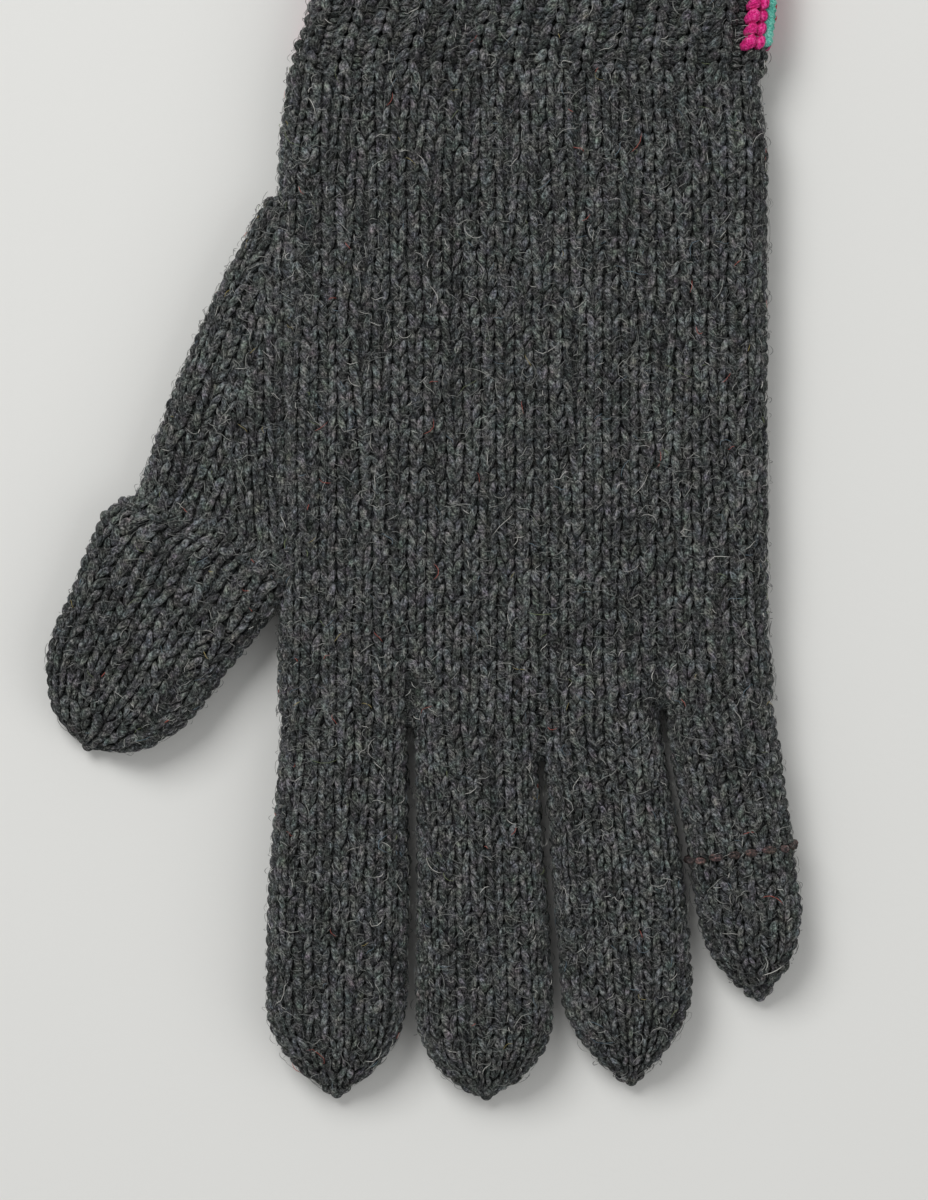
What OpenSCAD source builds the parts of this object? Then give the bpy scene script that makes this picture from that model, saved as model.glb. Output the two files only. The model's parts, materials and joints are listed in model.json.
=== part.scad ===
// Knitted right-hand glove, lying palm up: +Z is up, the cuff points to +Y and the fingers to -Y.
// The origin is on the glove's underside, in the middle of the hand. Lengths are in millimetres.
// The knit is one continuous fabric; here each stretch that bends is its own tube section.

/* [Fabric] */
// Thickness of the knitted fabric
fabric = 2.2; // [1.6:0.1:2.6]
// Height of the empty glove as it lies, both layers and the air between them
glove_t = 12; // [10.5:0.5:15]
// Clearance between sections that move against each other
joint_gap = 0.4; // [0.3:0.1:0.6]

/* [Hand] */
// Distance from the origin to the wrist line, where the ribbing starts
wrist_y = 60; // [45:1:75]
// Distance from the origin to the bend line of the index finger
index_y = 56; // [46:1:66]
// Distance from the origin to the bend line of the middle finger
middle_y = 60; // [50:1:70]
// Distance from the origin to the bend line of the ring finger
ring_y = 58; // [48:1:68]
// Distance from the origin to the bend line of the little finger
little_y = 53; // [43:1:63]
// Width of the stitches cast on between two fingers
bridge_w = 2.4; // [1.6:0.2:4]
// Length of the stitches cast on between two fingers
bridge_l = 3; // [2:0.5:5]

/* [Cuff] */
// Width of the ribbed cuff, lying flat
cuff_w = 84; // [70:1:96]
// How far the cuff sits towards the little finger from the hand's centre line
cuff_shift = 2.5; // [0:0.5:4]
// Length of the cuff from the wrist line to its open end
cuff_l = 62; // [40:1:90]
// Length of the cast-on edge at the open end
edge_l = 3; // [2:0.5:5]
// Width of one coloured stripe, one knit rib and one purl rib
stripe_w = 5.3; // [4:0.1:7]
// Plain ribbing between the wrist line and the stripes
stripe_start = 8; // [7:0.5:12]
// Plain ribbing between the stripes and the cast-on edge
stripe_stop = 9; // [5:0.5:15]

/* [Index finger] */
// Width of the index finger, lying flat
index_w = 24; // [20:0.5:28]
// How far the index finger leans away from the thumb, in degrees
index_lean = 0; // [0:0.5:3]
// Index finger, bend line to first knuckle
index_base_l = 23; // [18:0.5:30]
// Index finger, first knuckle to second knuckle
index_middle_l = 22; // [18:0.5:28]
// Index finger, second knuckle to tip
index_tip_l = 21.6; // [18:0.2:28]

/* [Middle finger] */
// Width of the middle finger, lying flat
middle_w = 23; // [20:0.5:28]
// How far the middle finger leans away from the thumb, in degrees
middle_lean = 1; // [0:0.5:4]
// Middle finger, bend line to first knuckle
middle_base_l = 21; // [18:0.5:30]
// Middle finger, first knuckle to second knuckle
middle_middle_l = 21; // [18:0.5:28]
// Middle finger, second knuckle to tip
middle_tip_l = 20; // [18:0.2:28]

/* [Ring finger] */
// Width of the ring finger, lying flat
ring_w = 22; // [18:0.5:26]
// How far the ring finger leans away from the thumb, in degrees
ring_lean = 5; // [3:0.5:7]
// Ring finger, bend line to first knuckle
ring_base_l = 21; // [17:0.5:28]
// Ring finger, first knuckle to second knuckle
ring_middle_l = 21; // [17:0.5:28]
// Ring finger, second knuckle to tip
ring_tip_l = 20.4; // [17:0.2:28]

/* [Little finger] */
// Width of the little finger, lying flat
little_w = 19; // [16:0.5:23]
// How far the little finger leans away from the thumb, in degrees
little_lean = 8; // [6:0.5:12]
// Little finger, bend line to first knuckle
little_base_l = 17; // [15:0.5:24]
// Little finger, first knuckle to second knuckle
little_middle_l = 18; // [17.5:0.5:24]
// Little finger, second knuckle to tip
little_tip_l = 17; // [15:0.2:24]
// First knuckle to the ridge where the yarn was joined
little_join_y = 8.4; // [7:0.2:9]

/* [Thumb] */
// Width of the thumb, lying flat
thumb_w = 30; // [26:0.5:34]
// How far the thumb leans away from the fingers, in degrees
thumb_lean = 27; // [20:1:35]
// Distance from the origin to the thumb's bend line, towards the fingers
thumb_y = 20.5; // [15:0.5:26]
// Thumb, bend line to knuckle
thumb_base_l = 21; // [18:0.5:28]
// Thumb, knuckle to tip
thumb_tip_l = 24; // [20:0.5:28]
// Bend line to the raised round where the thumb's stitches were picked up
thumb_join_y = 2; // [1:0.5:5]
// Distance from the origin to the top of the gusset, towards the cuff
gusset_y = 18; // [10:1:30]

/* [Small pieces] */
// Length of the fingertips' rounded and slightly pointed end
tip_taper = 14; // [11:0.5:15]
// Length of the thumb's rounded end
thumb_taper = 16; // [13:0.5:18]
// Radius of the gathered knot at a tip
knot_r = 2.4; // [1.8:0.2:3]
// Length of the raised round of stitches where yarn was joined or picked up
ridge_l = 2; // [1.5:0.25:2.5]
// How far that round stands out on each side
ridge_out = 0.5; // [0.2:0.1:0.8]

/* [Hidden] */
$fn = 64;

charcoal = "#3d3f3e";
tip_grey = "#414443";
pink = "#eb2a8c";
teal = "#5cc2b2";
red = "#c8283c";

mid_z = glove_t / 2;
swing_r = mid_z + joint_gap;
cavity_t = glove_t - 2 * fabric;
far = 200;

// Half-gaps either side of each finger make the row of fingers as wide as the hand
finger_gap = joint_gap;
hand_w = index_w + middle_w + ring_w + little_w + 3 * finger_gap;
hand_left = -hand_w / 2;
index_x = hand_left + index_w / 2;
middle_x = index_x + (index_w + middle_w) / 2 + finger_gap;
ring_x = middle_x + (middle_w + ring_w) / 2 + finger_gap;
little_x = ring_x + (ring_w + little_w) / 2 + finger_gap;

// The gusset folds about a line just outside the hand's edge
fold_x = hand_left - joint_gap - mid_z;
// The thumb's round inner side stays within the gusset's own round edge
thumb_round = thumb_w / 2 - mid_z;
thumb_x = fold_x - thumb_round * cos(thumb_lean) - mid_z * sin(thumb_lean);
// Each finger: bend line's place, lean, width and the length of its three sections
index_f = [index_x, -index_y, index_lean, index_w, index_base_l, index_middle_l, index_tip_l];
middle_f = [middle_x, -middle_y, middle_lean, middle_w, middle_base_l, middle_middle_l, middle_tip_l];
ring_f = [ring_x, -ring_y, ring_lean, ring_w, ring_base_l, ring_middle_l, ring_tip_l];
little_f = [little_x, -little_y, little_lean, little_w, little_base_l, little_middle_l, little_tip_l];
fingers = [index_f, middle_f, ring_f, little_f];
thumb_f = [thumb_x, -thumb_y, -thumb_lean, thumb_w, thumb_base_l, thumb_tip_l];

// Flat tube's section: straight above and below, round at both sides
module tube_section(w, t) {
  square([w - t, t], center = true);
  for (side = [-1, 1])
    translate([side * (w - t) / 2, 0]) circle(d = t);
}

// The section run along +Y at mid height
module run(w, t, from, to) {
  translate([0, from, mid_z]) rotate([-90, 0, 0]) linear_extrude(to - from) tube_section(w, t);
}

// A cylinder across the tube at a bend line
module bend_cylinder(y, r, w) {
  translate([0, y, mid_z]) rotate([0, 90, 0]) cylinder(h = w, r = r, center = true);
}

// Everything on one side of a bend line
module beyond(y, w) {
  translate([-w / 2, y, -glove_t]) cube([w, far, 3 * glove_t]);
}

// Room for a section that swings up from the bend line at y
module swing_room(y, w) {
  bend_cylinder(y, swing_r, w);
  beyond(y, w);
  translate([-w / 2, y - swing_r, mid_z]) cube([w, swing_r, 2 * glove_t]);
}

// Tube whose near end is a round knuckle about y = 0, on a bend line turned back by skew
module knuckled(w, t, to, skew = 0) {
  intersection() {
    run(w, t, -glove_t, to);
    rotate([0, 0, -skew]) union() {
      bend_cylinder(0, mid_z, 2 * w);
      beyond(0, 2 * w);
    }
  }
}

// A middle stretch of a finger, open at both ends
module section(w, len, skew = 0) {
  difference() {
    knuckled(w, glove_t, len, skew);
    run(w - 2 * fabric, cavity_t, -glove_t, len + glove_t);
    swing_room(len, w + glove_t);
  }
}

// Outline of a tip seen from above: two arcs that meet in a blunt point
module tip_outline(w, len, taper) {
  arc_r = (taper * taper + w * w / 4) / w;
  translate([-w / 2, -glove_t]) square([w, len - taper + glove_t]);
  intersection() {
    translate([w / 2 - arc_r, len - taper]) circle(arc_r);
    translate([arc_r - w / 2, len - taper]) circle(arc_r);
    translate([-w / 2, len - taper]) square([w, taper]);
  }
}

// Solid tip, rounded from above and from the side
module tip_body(w, t, len, taper) {
  intersection() {
    run(w, t, -glove_t, len);
    translate([0, 0, -1]) linear_extrude(glove_t + 2) tip_outline(w, len, taper);
    union() {
      translate([-w, -2 * glove_t, -1]) cube([2 * w, 2 * glove_t + len - t / 2, glove_t + 2]);
      bend_cylinder(len - t / 2, t / 2, 2 * w);
    }
  }
}

// The closed end section of a finger
module tip_section(w, len, taper) {
  difference() {
    intersection() {
      knuckled(w, glove_t, len + 1);
      tip_body(w, glove_t, len, taper);
    }
    tip_body(w - 2 * fabric, cavity_t, len - fabric, taper - fabric);
  }
}

// The last stitches drawn together outside the tip
module knot(w, len, taper) {
  difference() {
    translate([0, len - knot_r / 2, mid_z]) sphere(knot_r);
    tip_body(w, glove_t, len, taper);
  }
}

// Raised round of stitches: it takes the outer half of the fabric and stands out at the sides
module ridge(w, from) {
  difference() {
    run(w + 2 * ridge_out, glove_t, from, from + ridge_l);
    run(w - fabric, glove_t - fabric, from - 1, from + ridge_l + 1);
  }
}

// A tube with room for that round
module with_ridge_room(w, from) {
  difference() {
    children();
    difference() {
      run(2 * w, 2 * glove_t, from, from + ridge_l);
      run(w - fabric, glove_t - fabric, from - 1, from + ridge_l + 1);
    }
  }
}

// Puts a digit's pieces at its bend line, pointing along it
module at_digit(f, along = 0) {
  translate([f[0], f[1], 0]) rotate([0, 0, 180 + f[2]]) translate([0, along, 0]) children();
}

// The four fingers bend from the hand about parallel lines, so they curl side by side
module finger_base(f) {
  color(charcoal) at_digit(f) section(f[3], f[4], f[2]);
}

module finger_middle(f) {
  color(charcoal) at_digit(f, f[4]) section(f[3], f[5]);
}

module finger_tip(f) {
  color(tip_grey) at_digit(f, f[4] + f[5]) tip_section(f[3], f[6], tip_taper);
}

module finger_knot(f) {
  color(charcoal) at_digit(f, f[4] + f[5]) knot(f[3], f[6], tip_taper);
}

module little_middle() {
  color(charcoal) at_digit(little_f, little_base_l)
    with_ridge_room(little_w, little_join_y) section(little_w, little_middle_l);
}

module little_join() {
  color("#4a3f3e") at_digit(little_f, little_base_l) ridge(little_w, little_join_y);
}

// The gusset's free edge runs from the top of the fold line to the thumb's outer side
gusset_low_x = thumb_x - thumb_round * cos(thumb_lean);
gusset_low_y = -thumb_y + thumb_round * sin(thumb_lean);
gusset_turn = atan2(gusset_low_y - gusset_y, gusset_low_x - fold_x) - 90;
gusset_span = 2 * thumb_w;

// Wedge between the fold line and the free edge, round along both
module gusset_body(inset) {
  t = glove_t - 2 * inset;
  w = gusset_span - 2 * inset;
  intersection() {
    translate([fold_x + mid_z - gusset_span / 2, 0, 0])
      run(w, t, -2 * thumb_y, gusset_y + mid_z - inset);
    translate([fold_x, gusset_y, 0]) rotate([0, 0, gusset_turn])
      translate([mid_z - gusset_span / 2, 0, 0]) run(w, t, -gusset_span, 2 * gusset_span);
  }
}

module thumb_gusset() {
  color(charcoal) difference() {
    gusset_body(0);
    gusset_body(fabric);
    gusset_way(0);
    at_digit(thumb_f) swing_room(0, 2 * thumb_w);
  }
}

// The way from the hand into the gusset
module gusset_way(reach) {
  translate([fold_x, -thumb_y, fabric]) cube([glove_t + reach, thumb_y + gusset_y, cavity_t]);
}

module thumb_base() {
  color(charcoal) at_digit(thumb_f)
    with_ridge_room(thumb_w, thumb_join_y) section(thumb_w, thumb_base_l);
}

module thumb_join() {
  color(charcoal) at_digit(thumb_f) ridge(thumb_w, thumb_join_y);
}

module thumb_tip() {
  color(tip_grey) at_digit(thumb_f, thumb_base_l) tip_section(thumb_w, thumb_tip_l, thumb_taper);
}

module thumb_knot() {
  color(charcoal) at_digit(thumb_f, thumb_base_l) knot(thumb_w, thumb_tip_l, thumb_taper);
}

// The hand's flat tube, open to the cuff, the fingers and the thumb
module hand() {
  reach = max(index_y, middle_y, ring_y, little_y);
  color(charcoal) difference() {
    run(hand_w, glove_t, -reach, wrist_y - swing_r);
    run(hand_w - 2 * fabric, cavity_t, -reach - 1, wrist_y);
    for (f = fingers)
      translate([f[0], f[1], 0]) rotate([0, 0, 180])
        swing_room(0, f[3] + 2 * finger_gap + 2 * glove_t * sin(f[2]));
    crotch_room(index_f, middle_f);
    crotch_room(middle_f, ring_f);
    crotch_room(ring_f, little_f);
    gusset_way(glove_t / 2);
  }
}

// Two neighbours that lean apart leave a fin of the hand between them; this takes it away
module crotch_room(a, b) {
  x = boundary_x(a, b);
  y = max(a[1], b[1]);
  translate([x - bridge_w / 2, y - far, -1]) cube([bridge_w, far, 3 * glove_t]);
}

// Middle of the gap between two neighbouring fingers at their bend lines
function boundary_x(a, b) = (a[0] + a[3] / 2 + b[0] - b[3] / 2) / 2;

// Stitches cast on between two fingers, joining palm and back
module bridge(a, b) {
  x = boundary_x(a, b);
  y = max(a[1], b[1]) + swing_r + 2 * joint_gap;
  color(charcoal) translate([x - bridge_w / 2, y, fabric]) cube([bridge_w, bridge_l, cavity_t]);
}

module at_cuff() {
  translate([cuff_shift, wrist_y, 0]) children();
}

module cuff_tube(from, to) {
  difference() {
    knuckled(cuff_w, glove_t, to);
    run(cuff_w - 2 * fabric, cavity_t, -glove_t, to + 1);
    if (from > 0)
      mirror([0, 1, 0]) beyond(-from, 2 * cuff_w);
  }
}

// Stripes run along the ribs: over the whole back, and round the little-finger edge onto the palm
stripe_n = floor((cuff_w - 2 * stripe_w) / stripe_w);
stripe_end = cuff_l - edge_l - stripe_stop;
module stripe_room(colour) {
  for (i = [0 : stripe_n - 1])
    if (i % 3 == colour)
      translate([cuff_w / 2 - (i + 2) * stripe_w, stripe_start, -1])
        cube([stripe_w, stripe_end - stripe_start, mid_z + 1]);
  if (colour == 1)
    translate([cuff_w / 2 - stripe_w, stripe_start, -1])
      cube([2 * stripe_w, stripe_end - stripe_start, glove_t + 2]);
  if (colour == 0)
    translate([cuff_w / 2 - 2 * stripe_w, stripe_start, mid_z])
      cube([stripe_w, stripe_end - stripe_start, glove_t]);
}

module stripes(colour) {
  at_cuff() intersection() {
    cuff_tube(0, cuff_l - edge_l);
    stripe_room(colour);
  }
}

module cuff_rib() {
  color(charcoal) at_cuff() difference() {
    cuff_tube(0, cuff_l - edge_l);
    for (colour = [0 : 2])
      stripe_room(colour);
  }
}

module cast_on_edge() {
  color(charcoal) at_cuff() cuff_tube(cuff_l - edge_l, cuff_l);
}

hand();
bridge(index_f, middle_f);  // index_middle_bridge
bridge(middle_f, ring_f);  // middle_ring_bridge
bridge(ring_f, little_f);  // ring_little_bridge
cuff_rib();
cast_on_edge();
color(pink) stripes(0);  // pink_stripes
color(teal) stripes(1);  // teal_stripes
color(red) stripes(2);  // red_stripes
finger_base(index_f);  // index_base
finger_middle(index_f);  // index_middle
finger_tip(index_f);  // index_tip
finger_knot(index_f);  // index_knot
finger_base(middle_f);  // middle_base
finger_middle(middle_f);  // middle_middle
finger_tip(middle_f);  // middle_tip
finger_knot(middle_f);  // middle_knot
finger_base(ring_f);  // ring_base
finger_middle(ring_f);  // ring_middle
finger_tip(ring_f);  // ring_tip
finger_knot(ring_f);  // ring_knot
finger_base(little_f);  // little_base
little_middle();
little_join();
finger_tip(little_f);  // little_tip
finger_knot(little_f);  // little_knot
thumb_gusset();
thumb_base();
thumb_join();
thumb_tip();
thumb_knot();
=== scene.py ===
import json
import math

import bmesh
import bpy
import numpy as np
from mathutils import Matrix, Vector


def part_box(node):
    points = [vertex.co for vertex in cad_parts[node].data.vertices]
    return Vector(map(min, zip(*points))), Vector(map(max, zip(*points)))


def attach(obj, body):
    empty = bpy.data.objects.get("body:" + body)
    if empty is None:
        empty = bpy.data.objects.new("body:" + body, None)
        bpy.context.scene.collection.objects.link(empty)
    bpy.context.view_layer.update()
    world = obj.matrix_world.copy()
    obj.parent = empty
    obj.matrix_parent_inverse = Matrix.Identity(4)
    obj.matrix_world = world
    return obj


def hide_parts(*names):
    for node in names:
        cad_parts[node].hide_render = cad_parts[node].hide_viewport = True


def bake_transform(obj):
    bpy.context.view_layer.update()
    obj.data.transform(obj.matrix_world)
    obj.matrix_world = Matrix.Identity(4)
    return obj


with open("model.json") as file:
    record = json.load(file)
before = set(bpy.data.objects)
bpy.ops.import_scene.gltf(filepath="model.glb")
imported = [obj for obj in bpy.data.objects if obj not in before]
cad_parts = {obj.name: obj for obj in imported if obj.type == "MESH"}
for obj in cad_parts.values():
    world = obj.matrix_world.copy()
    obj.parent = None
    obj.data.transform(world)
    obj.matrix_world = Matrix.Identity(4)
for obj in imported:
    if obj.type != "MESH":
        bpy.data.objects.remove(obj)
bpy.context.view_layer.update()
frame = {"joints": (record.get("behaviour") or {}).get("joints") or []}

# A hand-knitted wool glove lying palm up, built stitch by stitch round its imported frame.
# Every leg of every stitch is a small closed spindle of yarn, laid on the glove's surface.
# Lengths here are millimetres; a mesh turns to metres when it is made.

bl_info = {
    "name": "Knitted Glove",
    "version": (1, 0, 0),
    "blender": (4, 5, 0),
    "location": "View3D > Sidebar > Glove",
    "description": "Builds a knitted wool glove with a ribbed cuff, stitch by stitch",
    "category": "Object",
}

MM = 0.001
JOINTS = {joint["name"]: joint for joint in frame["joints"]}


# ---------------------------------------------------------------- settings


def linear(hex_colour):
    """Turns an sRGB hex colour into linear RGBA."""
    parts = [int(hex_colour[i : i + 2], 16) / 255 for i in (1, 3, 5)]
    return tuple(p / 12.92 if p <= 0.04045 else ((p + 0.055) / 1.055) ** 2.4 for p in parts) + (1.0,)


class GloveYarn(bpy.types.PropertyGroup):
    """Sizes of the yarn and of the stitches it makes."""

    wale: bpy.props.FloatProperty(
        name="Stitch width",
        description="Width of one stitch of the palm",
        default=0.00317,
        min=0.002,
        max=0.005,
        precision=5,
        unit="LENGTH",
    )
    course: bpy.props.FloatProperty(
        name="Stitch height",
        description="Height of one row of stitches",
        default=0.0023,
        min=0.0015,
        max=0.004,
        precision=5,
        unit="LENGTH",
    )
    plump: bpy.props.FloatProperty(
        name="Yarn thickness",
        description="Yarn thickness as a share of half a stitch",
        default=0.8,
        min=0.6,
        max=1.4,
        subtype="FACTOR",
    )
    fibres: bpy.props.IntProperty(
        name="Loose fibres",
        description="Loose fibres on a square centimetre of knit",
        default=48,
        min=0,
        max=80,
    )
    seed: bpy.props.IntProperty(name="Seed", description="Start of the random draws", default=7)


def colour_property(name, description, hex_colour):
    return bpy.props.FloatVectorProperty(
        name=name, description=description, default=linear(hex_colour), size=4, min=0, max=1, subtype="COLOR"
    )


class GloveColours(bpy.types.PropertyGroup):
    """Colours of the yarns and the floor."""

    charcoal: colour_property("Charcoal wool", "Main yarn", "#474a4a")
    shade: colour_property("Charcoal shade", "Darkest fibres of the main yarn", "#0e1010")
    heather: colour_property("Heather", "Lightest fibres of the main yarn", "#a3a6a5")
    pink: colour_property("Pink wool", "Stripe yarn", "#f0258c")
    teal: colour_property("Teal wool", "Stripe yarn", "#6fcdb9")
    red: colour_property("Red wool", "Stripe yarn", "#d23a48")
    floor: colour_property("Floor", "Plain pale floor", "#e2e2df")


class Yarn:
    """The yarn's settings as the builder uses them, lengths in millimetres."""

    def __init__(self, group):
        self.wale = round(group.wale / MM, 4)
        self.course = round(group.course / MM, 4)
        self.plump = group.plump
        self.fibres = group.fibres
        self.seed = group.seed


def yarn():
    return Yarn(bpy.context.scene.glove_yarn)


def colours():
    return bpy.context.scene.glove_colours


def smooth(x):
    """Smoothstep of x held between 0 and 1."""
    x = np.clip(x, 0, 1)
    return x * x * (3 - 2 * x)


def flat_tube(f, width, height):
    """A point at share f of the way round a flat tube's section: sideways and upwards from its middle.

    f runs from the left edge over the top to the right edge and back under.
    """
    width = np.maximum(width, height * 1.001)
    quarter = math.pi * height / 4
    flat = width - height
    way = np.mod(f, 1.0) * (4 * quarter + 2 * flat)
    r = height / 2
    bend = np.maximum(r, 1e-6)
    edges = [quarter, quarter + flat, 3 * quarter + flat, 3 * quarter + 2 * flat]
    a, b, c = way / bend, (way - edges[1]) / bend, (way - edges[3]) / bend
    conditions = [way < edges[0], way < edges[1], way < edges[2], way < edges[3]]
    side = np.select(
        conditions,
        [
            -flat / 2 - r * fuller(np.cos(a)),
            way - edges[0] - flat / 2,
            flat / 2 + r * fuller(np.sin(b)),
            flat / 2 - (way - edges[2]),
        ],
        -flat / 2 - r * fuller(np.sin(c)),
    )
    up = np.select(conditions, [r * fuller(np.sin(a)), r, r * fuller(np.cos(b)), -r], -r * fuller(np.cos(c)))
    return side, up


# Below 1 a tube's round edges are squarer than a circle
EDGE_ROUNDNESS = 0.82


def fuller(v):
    """Makes a quarter circle's sine or cosine that of a slightly squarer curve."""
    return np.sign(v) * np.abs(v) ** EDGE_ROUNDNESS


class KnitTube:
    """A knitted tube: its surface, its stitch columns and its rows.

    place(f, s) gives a point on the fabric at share f round the tube and distance s along it.
    """

    # Sideways runs to +X and along runs to the fingers (-Y) on the palm, so their cross product
    # points down; a tube that runs the other way has -1 here
    hand_sign = 1.0
    # How far short of the tube's end its stitches stop; a negative gap lets them pass the end
    end_gap = -5.0

    def __init__(self, place, girth, columns, reach, rows, turn=None, keep=None):
        self.place = place
        self.girth = girth
        self.columns = columns
        self.reach = reach
        self.rows = rows
        self.turn = turn or self.evenly
        self.keep = keep or self.everywhere

    def evenly(self, column, s):
        return column / self.columns

    def everywhere(self, x, y):
        return np.ones(np.shape(x), bool)

    def pitch(self, s):
        """Width of one column at a distance along, in mm."""
        if self.turn is gusset_turn:
            return np.full(np.shape(s), yarn().wale)
        return self.girth(s) / self.columns

    def at(self, column, s, lift):
        """Points in mm at a column (whole or not), a distance along and a height above the fabric."""
        f = self.turn(column, s)
        step_f, step_s = 1e-3, 0.05
        here = self.place(f, s)
        along = self.place(f, s + step_s) - self.place(f, s - step_s)
        around = self.place(f + step_f, s) - self.place(f - step_f, s)
        normal = np.cross(around, along)
        normal /= np.maximum(np.linalg.norm(normal, axis=-1, keepdims=True), 1e-9)
        return here - normal * lift[..., None] * self.hand_sign


def drape(x, y):
    """Height of the folds and dents that the fabric keeps as it lies."""
    folds = 0.28 * np.sin(0.11 * x + 0.05 * y + 1.0) * np.sin(0.07 * y - 0.04 * x + 2.0)
    dents = 0.16 * np.sin(0.23 * x - 0.19 * y)
    return folds + dents


def lay(x, y, up, height, lift=0.0):
    """Fabric height: the underside lies on the table, the upper side follows the drape."""
    upper = smooth(up / np.maximum(height, 1e-3) + 0.5)
    return np.stack([x, y, height / 2 + up + lift + upper * drape(x, y)], axis=-1)


# ---------------------------------------------------------------- the glove's plan

# Height of the lying glove, both layers
BODY_H = 12.0
WRIST = [1000 * c for c in JOINTS["wrist_bend"]["pos_m"]]
HAND_W = 88.6
HAND_COLUMNS = 60
# Crotches between index and middle, middle and ring, ring and little: sideways, along
CROTCHES = [(-20.2, -56.0), (2.9, -62.4), (24.5, -52.9)]
# The furrow that runs from each crotch into the hand: half its width and its length
FURROW_R = 5.0
FURROW_L = 17.0


def crotch_line(x):
    """Where the hand's fabric ends and the fingers' begins."""
    xs = [-60] + [c[0] for c in CROTCHES] + [60]
    ys = [CROTCHES[0][1]] + [c[1] for c in CROTCHES] + [CROTCHES[-1][1]]
    return np.interp(x, xs, ys)


def on_hand(x, y):
    return y > crotch_line(x)


def on_fingers(x, y):
    return y <= crotch_line(x)


def furrow(x, y):
    """1 on the flat of the hand, falling to the fingers' round sides along the furrows between them."""
    level = np.ones(np.shape(x))
    for cx, cy in CROTCHES:
        depth = smooth((cy + FURROW_L - y) / FURROW_L) ** 1.7
        inside = 1 - np.clip(np.abs(x - cx) / FURROW_R, 0, 1)
        level *= 1 - depth * (1 - (1 - inside**2.4) ** 0.42)
    return level


def hand_width(s):
    """The hand is a little narrower at the wrist line."""
    return HAND_W - 3.0 * np.exp(-(np.maximum(s, 0) / 9.0) ** 2)


def hand_place(f, s):
    side, up = flat_tube(f, hand_width(s), BODY_H)
    y = WRIST[1] - s
    # The side of the hand swings out towards the little finger's lean
    x = side - 0.2 + 1.2 * smooth((-33.0 - y) / 22.0) * smooth((side - 18.0) / 10.0)
    up = up * furrow(x, y)
    return lay(x, y, up, BODY_H)


def hand_girth(s):
    return 2 * (hand_width(s) - BODY_H) + math.pi * BODY_H


def hand_tube():
    course = yarn().course
    length = WRIST[1] - min(c[1] for c in CROTCHES)
    rows = np.arange(0.5, length / course) * course
    return KnitTube(hand_place, hand_girth, HAND_COLUMNS, (0.0, length), rows, keep=on_hand)


def plan_place(joint):
    """A hinge's place seen from above, in mm."""
    return np.array(joint["pos_m"][:2]) * 1000


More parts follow.
